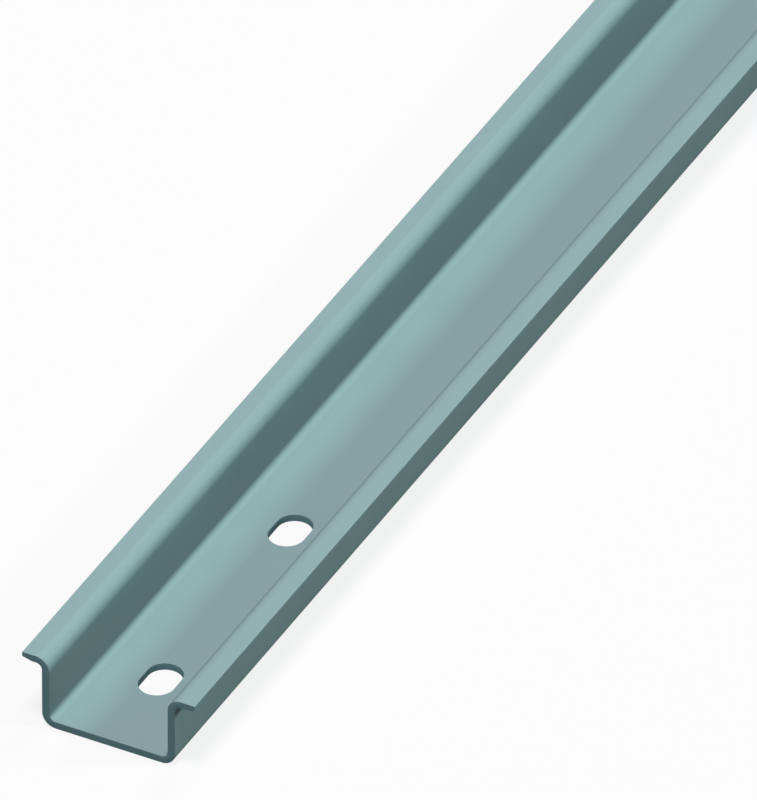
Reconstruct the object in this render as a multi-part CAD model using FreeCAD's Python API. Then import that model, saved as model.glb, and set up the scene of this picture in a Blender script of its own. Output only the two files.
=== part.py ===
"""A top-hat mounting rail: one strip of sheet steel, roll-formed into a deep channel with two outward flanges.

The section stands on its base in the X-Z plane and the rail runs along Y. The origin is the middle of the
base's underside, halfway along the rail. All sizes are in millimetres.
"""
import FreeCAD, Part
import math
import os

# Overall sizes
rail_length = 500.0
rail_height = 15.0
flange_span = 35.0
base_width = 27.0

# Strip and bends, each bend given by its inner radius
sheet_thickness = 1.5
base_bend_radius = 1.3
flange_bend_radius = 1.2

# Flange edges, thinned from below so that clips made for 1 mm sheet can grip them
flange_edge_thickness = 1.0
flange_taper_width = 2.0
flange_edge_radius = 0.2

# Screw slots along the middle of the base, the same group at each end
slot_width = 6.8
slot_length = 9.8
slot_end_distance = 20.0
slot_pitch = 50.0
slots_per_end = 2
slot_rim_radius = 0.15

# How far a punch stands out of the sheet on each side
punch_overrun = 1.0


def rounded_outline(corners):
    """A closed wire in the X-Z plane through corners given as (x, z, radius), with radius 0 for a sharp one."""
    places = [FreeCAD.Vector(x, 0, z) for x, z, _ in corners]
    starts, ends, arcs = [], [], []
    for i, (_, _, radius) in enumerate(corners):
        here = places[i]
        back = (places[i - 1] - here).normalize()
        ahead = (places[(i + 1) % len(places)] - here).normalize()
        half_angle = back.getAngle(ahead) / 2
        reach = radius / math.tan(half_angle)
        starts.append(here + back * reach)
        ends.append(here + ahead * reach)
        if radius:
            inward = (back + ahead).normalize()
            middle = here + inward * (radius / math.sin(half_angle) - radius)
            arcs.append(Part.Arc(starts[i], middle, ends[i]).toShape())
        else:
            arcs.append(None)
    edges = []
    for i, arc in enumerate(arcs):
        if arc:
            edges.append(arc)
        edges.append(Part.LineSegment(ends[i], starts[(i + 1) % len(starts)]).toShape())
    return Part.Wire(edges)


def section():
    """The rail's section as a face: the base, two webs with their bends, and two flanges with thinned edges."""
    web_outside = base_width / 2
    web_inside = web_outside - sheet_thickness
    flange_edge = flange_span / 2
    flange_under = rail_height - sheet_thickness
    edge_under = rail_height - flange_edge_thickness
    right_side = [
        (web_outside, 0, base_bend_radius + sheet_thickness),
        (web_outside, flange_under, flange_bend_radius),
        (flange_edge - flange_taper_width, flange_under, 0),
        (flange_edge, edge_under, flange_edge_radius),
        (flange_edge, rail_height, flange_edge_radius),
        (web_inside, rail_height, flange_bend_radius + sheet_thickness),
        (web_inside, sheet_thickness, base_bend_radius),
    ]
    left_side = [(-x, z, radius) for x, z, radius in reversed(right_side)]
    return Part.Face(rounded_outline(right_side + left_side))


def slot_punch(y):
    """The solid that punches one slot, long way along the rail, with its middle at y."""
    radius = slot_width / 2
    straight = (slot_length - slot_width) / 2
    depth = sheet_thickness + 2 * punch_overrun
    floor = -punch_overrun
    ends = [FreeCAD.Vector(0, y + side * straight, floor) for side in (-1, 1)]
    rounds = [Part.makeCylinder(radius, depth, end) for end in ends]
    middle = Part.makeBox(slot_width, 2 * straight, depth, FreeCAD.Vector(-radius, y - straight, floor))
    return rounds[0].fuse([rounds[1], middle]).removeSplitter()


def slot_places():
    """The Y of each slot's middle: a group counted inwards from each end of the rail."""
    inwards = [slot_end_distance + i * slot_pitch for i in range(slots_per_end)]
    return [side * (rail_length / 2 - distance) for side in (-1, 1) for distance in inwards]


def slot_rims(solid):
    """The upper edges of the slots, where the punch went in and drew the sheet down."""
    top = sheet_thickness
    reach = slot_width / 2 + slot_rim_radius
    return [
        edge
        for edge in solid.Edges
        if abs(edge.BoundBox.ZMin - top) < 1e-6
        and abs(edge.BoundBox.ZMax - top) < 1e-6
        and max(-edge.BoundBox.XMin, edge.BoundBox.XMax) < reach
        and edge.BoundBox.YLength < slot_length
    ]


def rail():
    """The whole rail as one solid."""
    strip = section().extrude(FreeCAD.Vector(0, rail_length, 0))
    strip.translate(FreeCAD.Vector(0, -rail_length / 2, 0))
    punched = strip.cut([slot_punch(y) for y in slot_places()])
    solid = punched.Solids[0]
    return solid.makeFillet(slot_rim_radius, slot_rims(solid))


os.makedirs("parts", exist_ok=True)
finished = rail()
print("rail", "valid", finished.isValid(), "volume mm3", round(finished.Volume, 1), "solids", len(finished.Solids))
finished.exportStep("parts/rail.step")
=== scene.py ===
# %% [markdown]
# A deep top-hat mounting rail in zinc-plated steel.
#
# This is the rail that terminal blocks and breakers snap onto inside a control cabinet. The real one starts
# as a flat strip of steel. Rollers fold the strip into a channel with two flanges, a press punches the screw
# slots, and the rail is then plated with zinc and dipped in a passivating bath that leaves it a dull
# blue-grey.
#
# The lesson follows the factory: a flat strip, folds, thickness, thinned edges, punched slots, and then the
# finish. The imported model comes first, because its size is fixed and everything here has to agree with it.

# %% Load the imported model
import math

import bmesh
import bpy
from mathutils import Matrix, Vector
from mathutils.bvhtree import BVHTree


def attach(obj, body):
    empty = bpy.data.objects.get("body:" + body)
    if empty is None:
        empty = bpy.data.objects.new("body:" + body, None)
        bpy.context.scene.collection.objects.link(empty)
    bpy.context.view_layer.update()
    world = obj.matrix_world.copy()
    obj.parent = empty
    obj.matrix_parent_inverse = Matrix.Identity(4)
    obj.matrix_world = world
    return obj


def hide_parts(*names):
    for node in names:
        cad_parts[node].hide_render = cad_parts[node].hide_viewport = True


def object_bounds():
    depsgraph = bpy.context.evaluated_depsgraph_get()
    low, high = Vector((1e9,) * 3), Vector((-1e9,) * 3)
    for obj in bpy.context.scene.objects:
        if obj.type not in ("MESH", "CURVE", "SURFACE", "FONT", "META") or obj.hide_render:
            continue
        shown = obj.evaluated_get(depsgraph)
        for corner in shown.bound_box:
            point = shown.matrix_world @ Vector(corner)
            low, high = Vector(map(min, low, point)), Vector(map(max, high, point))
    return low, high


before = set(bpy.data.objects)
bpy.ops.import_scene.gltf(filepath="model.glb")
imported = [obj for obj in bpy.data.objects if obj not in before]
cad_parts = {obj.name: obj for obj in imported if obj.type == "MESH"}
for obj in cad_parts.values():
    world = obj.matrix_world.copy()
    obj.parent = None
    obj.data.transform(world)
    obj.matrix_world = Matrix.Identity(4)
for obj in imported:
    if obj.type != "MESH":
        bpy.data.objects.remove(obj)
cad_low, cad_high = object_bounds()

print("the rail measures", [round(side * 1000, 1) for side in cad_high - cad_low], "mm")

# %% [markdown]
# The sizes that matter.
#
# A sheet-metal drawing gives few numbers: the outside sizes, the sheet's thickness, the inner radius of each
# fold and the holes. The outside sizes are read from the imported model, so they can't drift away from it. The
# rest is written once, in millimetres, as a workshop would, and one helper turns millimetres to Blender's
# metres.

# %% Sizes of the section and the slots
def mm(size):
    """A length in millimetres, in Blender's metres."""
    return size / 1000


rail_length = cad_high.y - cad_low.y
rail_height = cad_high.z - cad_low.z
flange_span = cad_high.x - cad_low.x

base_width = mm(27)
sheet = mm(1.5)
base_fold = mm(1.3)
flange_fold = mm(1.2)
flange_edge_thickness = mm(1)
flange_taper = mm(2)
flange_edge_round = mm(0.2)

slot_width = mm(6.8)
slot_length = mm(9.8)
slot_distances = [mm(20), mm(70)]
slot_middles = [side * (rail_length / 2 - d) for side in (-1, 1) for d in slot_distances]

print("slots at", [round(y * 1000, 1) for y in slot_middles], "mm along the rail")

# %% [markdown]
# The camera.
#
# The picture to match is a parallel projection: edges that are parallel on the rail are parallel in it. An
# orthographic camera would copy that, but it keeps its scale when it is moved, and would cut off most of a
# long rail in any other view. A very long lens from far away comes within about two pixels and still frames
# the whole rail from every side. It looks down from 37 degrees, 28 degrees to the right of the rail's own
# direction.

# %% Camera with a very long lens
camera_azimuth = math.radians(27.65)
camera_elevation = math.radians(36.89)
camera_distance = 6.043
camera_lens = 1500
aim_from_end = mm(105.01)
aim_side = mm(-0.40)


def towards(azimuth, elevation):
    """The unit vector to a place round the rail: azimuth 0 is off its front end, 90 degrees off its right."""
    flat = math.cos(elevation)
    return Vector((math.sin(azimuth) * flat, -math.cos(azimuth) * flat, math.sin(elevation)))


aim = Vector((aim_side, aim_from_end - rail_length / 2, rail_height / 2))
camera_back = towards(camera_azimuth, camera_elevation)
bpy.ops.object.camera_add(location=aim + camera_back * camera_distance)
camera = bpy.context.object
camera.name = "camera"
camera.rotation_euler = camera_back.to_track_quat("Z", "Y").to_euler()
camera.data.lens = camera_lens
bpy.context.scene.camera = camera
print("camera", [round(c, 3) for c in camera.location], "m")

# %% [markdown]
# Colours and nodes.
#
# Colours are written as sRGB hex values, as in any paint program, but Cycles adds up light in linear
# numbers, so one function turns them. One more function adds a node: it sets the node's options and fills
# each input either with a number or with a link from another node. Every material below is built with it.

# %% Helpers for colours and nodes
def colour(code):
    """A hex sRGB colour as linear RGBA."""
    parts = [int(code[i:i + 2], 16) / 255 for i in (1, 3, 5)]
    linear = [c / 12.92 if c <= 0.04045 else ((c + 0.055) / 1.055) ** 2.4 for c in parts]
    return (*linear, 1)


def add_node(tree, kind, inputs=None, **options):
    """Adds a node, sets its options, and fills each input, by name or number, with a value or a link."""
    node = tree.nodes.new(kind)
    for name, value in options.items():
        setattr(node, name, value)
    for name, value in (inputs or {}).items():
        if isinstance(value, bpy.types.NodeSocket):
            tree.links.new(value, node.inputs[name])
        else:
            node.inputs[name].default_value = value
    return node


def empty_tree(owner):
    """The owner's node tree, cleared."""
    owner.use_nodes = True
    owner.node_tree.nodes.clear()
    return owner.node_tree


print("a middle grey, #808080, in linear numbers:", [round(c, 3) for c in colour("#808080")])

# %% [markdown]
# Floor and background.
#
# The background is white, and white surroundings would throw light up against the rail's sides, which are
# dark in the picture. Light Path tells kinds of rays apart. Rays from the camera, and those that the metal
# mirrors, see a white floor: most of that white is its own glow, and a share is lit, so that the rail's faint
# shadow stays. For all other rays the floor is a dark grey card, which throws only a little light back up.
# The world works in the same way.

# %% Floor and world
background = colour("#fcfcfc")
floor_glow_share = 0.86
grey_card = colour("#505050")
floor_side = 60
world_fill = 0.015


def seen_rays(tree):
    """1 for rays from the camera, for mirrored rays and for rays through glass, and 0 for the rest."""
    rays = add_node(tree, "ShaderNodeLightPath").outputs
    shown = rays["Is Camera Ray"]
    for other in ("Is Glossy Ray", "Is Transmission Ray"):
        shown = add_node(tree, "ShaderNodeMath", {0: shown, 1: rays[other]}, operation="MAXIMUM").outputs[0]
    return shown


floor_paint = bpy.data.materials.new("pale_studio_floor")
tree = empty_tree(floor_paint)
lit = add_node(tree, "ShaderNodeBsdfDiffuse", {"Color": background})
glow = add_node(tree, "ShaderNodeEmission", {"Color": background})
white = add_node(tree, "ShaderNodeMixShader", {0: floor_glow_share, 1: lit.outputs[0], 2: glow.outputs[0]})
card = add_node(tree, "ShaderNodeBsdfDiffuse", {"Color": grey_card})
shown = seen_rays(tree)
floor_mix = add_node(tree, "ShaderNodeMixShader", {0: shown, 1: card.outputs[0], 2: white.outputs[0]})
add_node(tree, "ShaderNodeOutputMaterial", {"Surface": floor_mix.outputs[0]})

bpy.ops.mesh.primitive_plane_add(size=floor_side, location=(0, 0, cad_low.z))
floor = bpy.context.object
floor.name = "floor"
floor.data.materials.append(floor_paint)

world = bpy.data.worlds.new("studio")
bpy.context.scene.world = world
tree = empty_tree(world)
fill = add_node(tree, "ShaderNodeBackground", {"Color": background, "Strength": world_fill})
white = add_node(tree, "ShaderNodeBackground", {"Color": background, "Strength": 1})
shown = seen_rays(tree)
world_mix = add_node(tree, "ShaderNodeMixShader", {0: shown, 1: fill.outputs[0], 2: white.outputs[0]})
add_node(tree, "ShaderNodeOutputWorld", {"Surface": world_mix.outputs[0]})
print("floor", floor_side, "m wide")

# %% [markdown]
# Lamps.
#
# The picture's light is simple: level surfaces are brightest, faces turned to the right have about two fifths
# of that brightness and the cut end a quarter. Four lamps imitate it, and the directions, shares and tints of
# the three soft ones were fitted to the picture's colours. Most of the light comes from nearly overhead, and
# leans a little to the front so that the cut end isn't black. A weaker, slightly warm lamp above the far end
# does the same for the other cut, and takes a little of the green out of the folds. A lower one at the right,
# slightly green, lights the faces turned that way. The right web stops it, and that leaves the softly shaded,
# greyer band along the right half of the base. The strip light at the left is so low that it only grazes the
# floor, and keeps the rail's left side from going black.
#
# Lamps of the sun kind light all of a long rail alike, and a wide angle makes them soft. A level surface in
# full light shows its own colour when the lamps together give it pi watts per square metre, so each lamp is
# given as a share of that.

# %% Lamps
def add_lamp(name, azimuth, elevation, share, softness, tint="#ffffff"):
    """A soft lamp far away that gives level surfaces that share of full light. Angles are in degrees."""
    direction = towards(math.radians(azimuth), math.radians(elevation))
    bpy.ops.object.light_add(type="SUN", location=direction)
    lamp = bpy.context.object
    lamp.name = name
    lamp.rotation_euler = direction.to_track_quat("Z", "Y").to_euler()
    lamp.data.energy = math.pi * share / direction.z
    lamp.data.angle = math.radians(softness)
    lamp.data.color = colour(tint)[:3]
    print(name, round(lamp.data.energy, 2), "W/m2")


add_lamp("softbox_overhead", azimuth=10, elevation=78, share=0.67, softness=14)
add_lamp("softbox_far_end", azimuth=180, elevation=50, share=0.13, softness=16, tint="#fff0ec")
add_lamp("softbox_right", azimuth=115, elevation=33.4, share=0.22, softness=9, tint="#edfff7")
add_lamp("strip_light_left", azimuth=270, elevation=1, share=0.004, softness=1.2)

# %% [markdown]
# Selecting in code.
#
# By hand, edges are clicked. In a script they are picked by a rule about where they lie. In edit mode, this
# helper selects the edges, vertices or faces that such a rule holds for, and the modelling operators then act
# on them.

# %% Helpers for modelling
near = mm(0.002)
print("lengths count as equal within", near * 1000, "mm")


def close(a, b):
    """Whether two lengths agree to within two thousandths of a millimetre."""
    return abs(a - b) < near


def select(kind, rule):
    """In edit mode, selects just the vertices, edges or faces that the rule holds for, and says how many."""
    bpy.ops.mesh.select_mode(type=kind)
    bpy.ops.mesh.select_all(action="DESELECT")
    mesh = bmesh.from_edit_mesh(bpy.context.object.data)
    items = {"VERT": mesh.verts, "EDGE": mesh.edges, "FACE": mesh.faces}[kind]
    items.ensure_lookup_table()
    chosen = [item for item in items if rule(item)]
    for item in chosen:
        item.select_set(True)
    mesh.select_flush_mode()
    bmesh.update_edit_mesh(bpy.context.object.data)
    return len(chosen)


def along_rail(x, *heights):
    """A rule for edges that run along the rail, that far out on either side and at one of the heights."""
    def rule(edge):
        one, other = (v.co for v in edge.verts)
        straight = close(one.x, other.x) and close(one.z, other.z)
        return straight and close(abs(one.x), x) and any(close(one.z, z) for z in heights)
    return rule


def pull(x, z):
    """Extrudes what is selected by that much across and up."""
    bpy.ops.mesh.extrude_region_move(TRANSFORM_OT_translate={"value": (x, 0, z)})


def apply_modifier(piece, kind, **settings):
    """Adds a modifier, sets it and applies it."""
    modifier = piece.modifiers.new(kind.lower(), kind)
    for name, value in settings.items():
        setattr(modifier, name, value)
    bpy.ops.object.modifier_apply(modifier=modifier.name)


# %% [markdown]
# The folded strip.
#
# The rail is one strip, so it is modelled as one sheet with no thickness yet: the side of the strip that ends
# up underneath. A plane is the base. Its long edges are pulled up into webs, and the webs' edges outwards
# into flanges. An extruded section would do too, but a folded sheet keeps its thickness round every fold by
# itself.

# %% Fold the strip
bpy.ops.object.select_all(action="DESELECT")
bpy.ops.mesh.primitive_plane_add(size=1)
rail = bpy.context.object
rail.name = "plated_rail"
bpy.ops.object.mode_set(mode="EDIT")
bpy.ops.transform.resize(value=(base_width, rail_length, 1))

web_outside = base_width / 2
flange_under = rail_height - sheet
flange_edge = flange_span / 2
for side in (-1, 1):
    select("EDGE", lambda edge: along_rail(web_outside, 0)(edge) and side * edge.verts[0].co.x > 0)
    pull(0, flange_under)
    pull(side * (flange_edge - web_outside), 0)
bpy.ops.mesh.select_all(action="SELECT")
bpy.ops.mesh.normals_make_consistent(inside=False)
strip = bmesh.from_edit_mesh(rail.data)
strip.faces.ensure_lookup_table()
if strip.faces[0].normal.z < 0:
    bpy.ops.mesh.flip_normals()
print("folded strip:", len(strip.faces), "faces")

# %% [markdown]
# Round the folds.
#
# Rollers can't fold steel to a sharp corner. The Bevel operator rounds an edge to a true arc. The strip is
# still its underside here, so a fold at the base has its outer radius, which is the inner one plus the
# thickness, and a fold at a flange has its inner radius. Twelve steps make each quarter turn look smooth
# close up.

# %% Bevel the folds
fold_steps = 12

select("EDGE", along_rail(web_outside, 0))
bpy.ops.mesh.bevel(offset=base_fold + sheet, segments=fold_steps, profile=0.5, clamp_overlap=False)
select("EDGE", along_rail(web_outside, flange_under))
bpy.ops.mesh.bevel(offset=flange_fold, segments=fold_steps, profile=0.5, clamp_overlap=False)
bpy.ops.object.mode_set(mode="OBJECT")
print("folds rounded:", len(rail.data.polygons), "faces")

# %% [markdown]
# Give the sheet its thickness.
#
# Solidify offsets the sheet along its normals. With Even Thickness the far side of each fold becomes an arc
# round the same centre, as in bent metal. The normals point up from the base, so the thickness goes upwards
# and inwards.

# %% Solidify
apply_modifier(rail, "SOLIDIFY", thickness=sheet, offset=1, use_even_offset=True, use_quality_normals=True)

# %% [markdown]
# Thin the flange edges.
#
# The spring latches of devices are made to grip a 1 mm edge, so on 1.5 mm rails the last two millimetres of
# each flange are rolled thinner from below. Bisect cuts a new line into the flange's underside, the outer
# lower edge is moved up, and the two long edges of the rim are rounded a little.

# %% Taper and round the flange edges
flange_edge_steps = 5
looks_down = -0.9

bpy.ops.object.mode_set(mode="EDIT")
for side in (-1, 1):
    select(
        "FACE",
        lambda face: face.normal.z < looks_down and side * face.calc_center_median().x > web_outside,
    )
    bpy.ops.mesh.bisect(plane_co=(side * (flange_edge - flange_taper), 0, 0), plane_no=(1, 0, 0))
select("EDGE", along_rail(flange_edge, flange_under))
bpy.ops.transform.translate(value=(0, 0, sheet - flange_edge_thickness))
select("EDGE", along_rail(flange_edge, rail_height, rail_height - flange_edge_thickness))
bpy.ops.mesh.bevel(offset=flange_edge_round, segments=flange_edge_steps, profile=0.5)
bpy.ops.object.mode_set(mode="OBJECT")
print("flange edges", flange_edge_thickness * 1000, "mm thick")

# %% [markdown]
# Punch the slots.
#
# The press drives a punch with round ends through the base. The punch is a cube whose four upright edges are
# bevelled by half its width, so that two sides become half circles. It is copied to each place, and one
# Boolean modifier cuts all the slots.

# %% Punch
punch_height = 4 * sheet
punch_steps = 16

bpy.ops.object.select_all(action="DESELECT")
bpy.ops.mesh.primitive_cube_add(size=1)
punch = bpy.context.object
bpy.ops.object.mode_set(mode="EDIT")
bpy.ops.transform.resize(value=(slot_width, slot_length, punch_height))
select("EDGE", lambda edge: abs(edge.verts[0].co.z - edge.verts[1].co.z) > sheet)
bpy.ops.mesh.bevel(offset=slot_width / 2, segments=punch_steps, profile=0.5)
bpy.ops.mesh.select_all(action="SELECT")
bpy.ops.mesh.remove_doubles(threshold=near)
bpy.ops.transform.translate(value=(0, slot_middles[0], 0))
for y in slot_middles[1:]:
    select("VERT", lambda vert: abs(vert.co.y - slot_middles[0]) <= slot_length / 2 + near)
    bpy.ops.mesh.duplicate_move(TRANSFORM_OT_translate={"value": (0, y - slot_middles[0], 0)})
bpy.ops.object.mode_set(mode="OBJECT")
print("punches:", len(punch.data.vertices), "points")

bpy.ops.object.select_all(action="DESELECT")
rail.select_set(True)
bpy.context.view_layer.objects.active = rail
apply_modifier(rail, "BOOLEAN", object=punch, operation="DIFFERENCE", solver="EXACT")
bpy.data.objects.remove(punch)

# %% [markdown]
# Break the edges.
#
# No edge of real sheet metal is perfectly sharp. Where the punch went in, it drew the surface down, which
# leaves a rounded rim on the slot's upper side. The shear and the plating bath leave the cut ends with a fine
# round too. These rounds are what catches the light along an edge.

# %% Round the slot rims and the cut ends
rim_round = mm(0.15)
rim_steps = 4
end_round = mm(0.08)
end_steps = 3
corner_angle = math.radians(50)


def is_corner(edge):
    """Whether the faces at this edge meet at a clear angle."""
    return len(edge.link_faces) == 2 and edge.calc_face_angle(0) > corner_angle


def beside_slot(place):
    """Whether a place is in or next to one of the slots."""
    return abs(place.x) < slot_width and min(abs(place.y - y) for y in slot_middles) < slot_length


def on_slot_rim(edge):
    """Whether the edge belongs to the upper rim of a slot."""
    ends = [v.co for v in edge.verts]
    return all(beside_slot(end) and close(end.z, sheet) for end in ends) and is_corner(edge)


def on_cut_end(edge):
    """Whether the edge goes round one of the rail's two end faces."""
    return all(close(abs(v.co.y), rail_length / 2) for v in edge.verts) and is_corner(edge)


bpy.ops.object.mode_set(mode="EDIT")
rims = select("EDGE", on_slot_rim)
bpy.ops.mesh.bevel(offset=rim_round, segments=rim_steps, profile=0.5)
ends = select("EDGE", on_cut_end)
bpy.ops.mesh.bevel(offset=end_round, segments=end_steps, profile=0.5)
print("rounded", rims, "rim edges and", ends, "edges at the ends")

# %% [markdown]
# Smooth shading that keeps flat faces flat.
#
# Smooth shading blends normals across each edge, also from a fold into the long flat face beside it, which
# would make that face look dished. The Weighted Normal modifier lets the larger face decide, so flats stay
# flat and only the rounds are blended.

# %% Shading
merge_distance = near / 4
smooth_up_to = math.radians(40)

bpy.ops.mesh.select_all(action="SELECT")
bpy.ops.mesh.remove_doubles(threshold=merge_distance)
bpy.ops.mesh.normals_make_consistent(inside=False)
bpy.ops.object.mode_set(mode="OBJECT")
bpy.ops.object.shade_smooth_by_angle(angle=smooth_up_to)
apply_modifier(rail, "WEIGHTED_NORMAL", keep_sharp=True, weight=100)
print("rail:", len(rail.data.vertices), "points,", len(rail.data.polygons), "faces")

# %% [markdown]
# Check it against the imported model.
#
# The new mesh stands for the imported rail, so it has to lie on its surface. The distance from every point of
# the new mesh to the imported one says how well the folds, tapers and slots agree.

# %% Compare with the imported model
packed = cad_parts["rail"].data
packed_surface = BVHTree.FromPolygons([v.co for v in packed.vertices], [p.vertices for p in packed.polygons])
farthest = max(packed_surface.find_nearest(v.co)[3] for v in rail.data.vertices)
print("farthest point from the packed surface:", round(farthest * 1000, 3), "mm")

# %% [markdown]
# The plating.
#
# Zinc plating on rolled steel, passivated: a dull metal coat a few thousandths of a millimetre thick. Such
# strip often has faint streaks along the rolling direction and slow cloudy changes of tone. The picture
# shows a matt blue-grey surface with neither, so both are added, but faintly. Only a tenth of the surface
# answers as metal, and there is no clear gloss on top. Where the steel was sheared or punched, fine marks run
# through the thickness. Those edges are made duller than the rolled faces, and a little bluer, because the
# cut end is bluer in the picture. Both pairs of colours were fitted to it.

# %% Colours of the plating
rolled_colours = colour("#8ca8ab"), colour("#96b2b5")
sheared_colours = colour("#83adb4"), colour("#8cb7be")
plating_metallic = 0.1
roughness_change = 0.06
streak_share = 0.45
print("metal share of the plating:", plating_metallic)

# %% [markdown]
# A correction on the walls of the channel.
#
# In the picture a wall is as dark inside the channel as outside, as if no light went from one face to the
# next. In Cycles it does: the bright base lights the walls, most of all at their feet, and makes them lighter
# and more blue-green. This step takes that out again by darkening the coat's colour on both walls. The tones
# were fitted to the picture. They are a correction and no property of the plating, and under lamps that throw
# less light between the faces the walls come out a little too dark.
#
# The walls are found by their place: they lie on the channel's side of the middle of the sheet. A colour ramp
# over the height gives the tone that the colour is multiplied by, and white leaves it as it is.

# %% Darker tone on the walls
no_change = colour("#ffffff")
tone_at_head = colour("#f0ebeb")
tone_at_foot = colour("#dfd6d6")
wall_foot = sheet + base_fold
wall_head = rail_height - sheet - flange_fold
tone_by_height = [
    (wall_foot - mm(0.9), no_change),
    (wall_foot - mm(0.1), tone_at_foot),
    (wall_head - mm(0.8), tone_at_head),
    (wall_head + mm(0.2), no_change),
]


def darker_on_walls(tree, place, tint):
    """The tint, made darker on the two walls inside the channel."""
    across, _, up = add_node(tree, "ShaderNodeSeparateXYZ", {0: place}).outputs
    distance = add_node(tree, "ShaderNodeMath", {0: across}, operation="ABSOLUTE").outputs[0]
    sheet_middle = web_outside - sheet / 2
    inside = add_node(
        tree, "ShaderNodeMath", {0: distance, 1: sheet_middle}, operation="LESS_THAN"
    ).outputs[0]
    height = add_node(tree, "ShaderNodeMath", {0: up, 1: rail_height}, operation="DIVIDE").outputs[0]
    ramp = add_node(tree, "ShaderNodeValToRGB", {"Fac": height})
    stops = ramp.color_ramp.elements
    stops.remove(stops[0])
    for stop_height, tone in tone_by_height:
        stops.new(stop_height / rail_height).color = tone
    toned = {"Factor": inside, "A": tint, "B": ramp.outputs[0]}
    return add_node(tree, "ShaderNodeMix", toned, data_type="RGBA", blend_type="MULTIPLY").outputs["Result"]


print("walls from", round(wall_foot * 1000, 2), "to", round(wall_head * 1000, 2), "mm up")

# %% [markdown]
# One function for both surfaces.
#
# The rolled faces and the sheared edges differ in their colours, their grain and how dull they are, so one
# function makes both. Slow clouds and fine streaks are mixed, and the mix picks a tone between two colours.
# It also makes the surface a little duller or smoother, and the streaks alone give its fine relief.
#
# Real rolling streaks are mostly finer than a pixel in any view of the whole rail, so they are drawn 0.5 mm
# wide, and the shear marks 0.2 mm.

# %% Zinc plating
def plated_steel(name, colours, grain, cloud_size, relief, roughness, dark_walls=False):
    """Zinc-plated steel between two colours, with marks of that size along X, Y and Z. Sizes are in mm."""
    material = bpy.data.materials.new(name)
    tree = empty_tree(material)
    place = add_node(tree, "ShaderNodeTexCoord").outputs["Object"]
    stretch = [1 / mm(size) for size in grain]
    stretched = add_node(tree, "ShaderNodeMapping", {"Vector": place, "Scale": stretch}).outputs[0]
    streaks = add_node(tree, "ShaderNodeTexNoise", {"Vector": stretched, "Scale": 1, "Detail": 3}).outputs[0]
    clouds = add_node(
        tree, "ShaderNodeTexNoise", {"Vector": place, "Scale": 1 / mm(cloud_size), "Detail": 2}
    ).outputs[0]
    blend = add_node(
        tree, "ShaderNodeMix", {"Factor": streak_share, "A": clouds, "B": streaks}
    ).outputs["Result"]
    tint = add_node(
        tree, "ShaderNodeMix", {"Factor": blend, "A": colours[0], "B": colours[1]}, data_type="RGBA"
    ).outputs["Result"]
    if dark_walls:
        tint = darker_on_walls(tree, place, tint)
    dullness = add_node(
        tree,
        "ShaderNodeMapRange",
        {"Value": blend, "To Min": roughness + roughness_change, "To Max": roughness - roughness_change},
    )
    bump = add_node(tree, "ShaderNodeBump", {"Height": streaks, "Strength": 1, "Distance": mm(relief)})
    shader = add_node(
        tree,
        "ShaderNodeBsdfPrincipled",
        {
            "Base Color": tint,
            "Roughness": dullness.outputs[0],
            "Metallic": plating_metallic,
            "Specular IOR Level": 0,
            "Normal": bump.outputs[0],
        },
    )
    add_node(tree, "ShaderNodeOutputMaterial", {"Surface": shader.outputs[0]})
    return material


rolled_face = plated_steel(
    "zinc_plated_rolled_steel",
    rolled_colours,
    grain=(0.5, 30, 0.5),
    cloud_size=14,
    relief=0.004,
    roughness=0.5,
    dark_walls=True,
)
sheared_face = plated_steel(
    "zinc_plated_sheared_edge",
    sheared_colours,
    grain=(0.2, 0.2, 2),
    cloud_size=6,
    relief=0.006,
    roughness=0.58,
)
print("finishes", rolled_face.name, sheared_face.name)

# %% [markdown]
# Which faces get which finish.
#
# The whole rail is rolled surface, apart from the two cut ends and the walls of the slots. Those faces are
# picked by where they lie and which way they look, and the second material slot is assigned to them.

# %% Assign the finishes
upright = 0.1


def is_sheared(face):
    """Whether the face is an end of the rail or part of a slot's wall."""
    middle = face.calc_center_median()
    at_end = close(abs(middle.y), rail_length / 2)
    in_slot = beside_slot(middle) and abs(face.normal.z) < upright
    return at_end or in_slot


rail.data.materials.append(rolled_face)
rail.data.materials.append(sheared_face)
bpy.ops.object.mode_set(mode="EDIT")
sheared = select("FACE", is_sheared)
rail.active_material_index = rail.data.materials.find(sheared_face.name)
bpy.ops.object.material_slot_assign()
bpy.ops.object.mode_set(mode="OBJECT")
print("sheared faces:", sheared, "of", len(rail.data.polygons))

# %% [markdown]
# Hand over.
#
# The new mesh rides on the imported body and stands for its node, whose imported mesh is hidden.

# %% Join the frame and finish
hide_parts("rail")
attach(rail, "root")

bpy.context.scene.view_settings.view_transform = "Standard"
